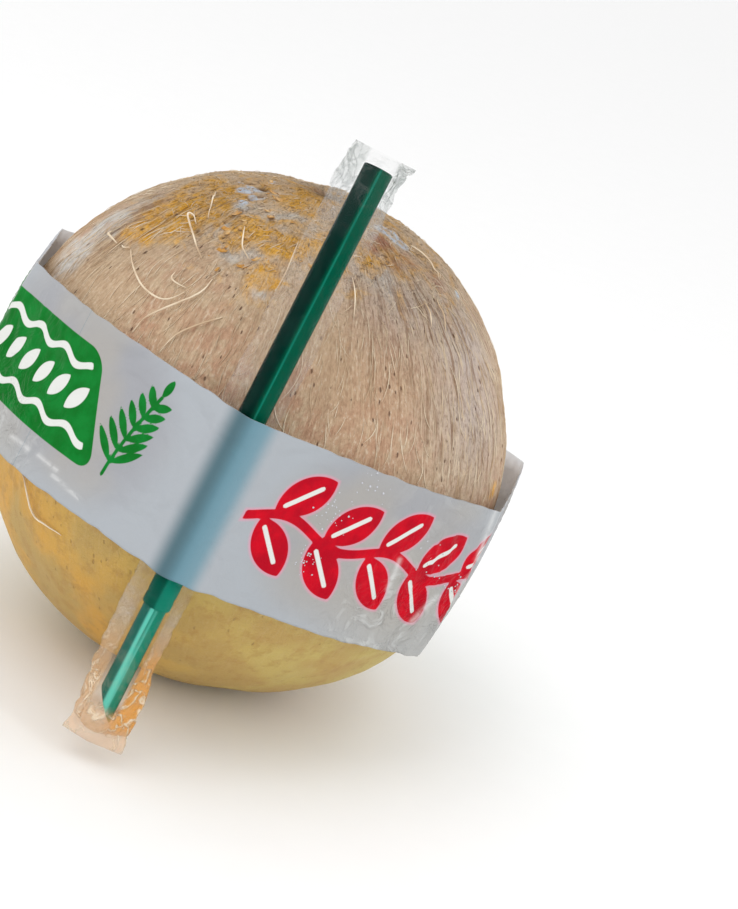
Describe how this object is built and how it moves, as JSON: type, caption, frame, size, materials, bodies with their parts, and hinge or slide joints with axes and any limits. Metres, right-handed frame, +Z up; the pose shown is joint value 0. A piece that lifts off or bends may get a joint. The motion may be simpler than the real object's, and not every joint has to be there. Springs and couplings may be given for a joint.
{
  "type": "shaved young coconut with band and straw",
  "caption": "Shaved young coconut for drinking, round and fibrous, with a milky film band round its waist and a pointed straw in a clear sleeve tucked under the band.",
  "frame": {"origin": "middle of the small flat that the nut stands on", "axes": "+Z up along the nut's fibres to its stem end, -Y towards the side where the straw stands, +X to the right of someone who looks at the straw"},
  "size_m": [0.1371, 0.1425, 0.15],
  "materials": {
    "coconut": "matt, fibrous",
    "band": "milky film, half gloss",
    "straw_upper": "gloss",
    "straw_lower": "gloss",
    "straw_sleeve": "clear film, gloss"
  },
  "bodies": {
    "root": {"coconut": "coconut", "band": "band", "straw_upper": "straw_upper", "straw_lower": "straw_lower", "straw_sleeve": "straw_sleeve"}
  },
  "joints": []
}
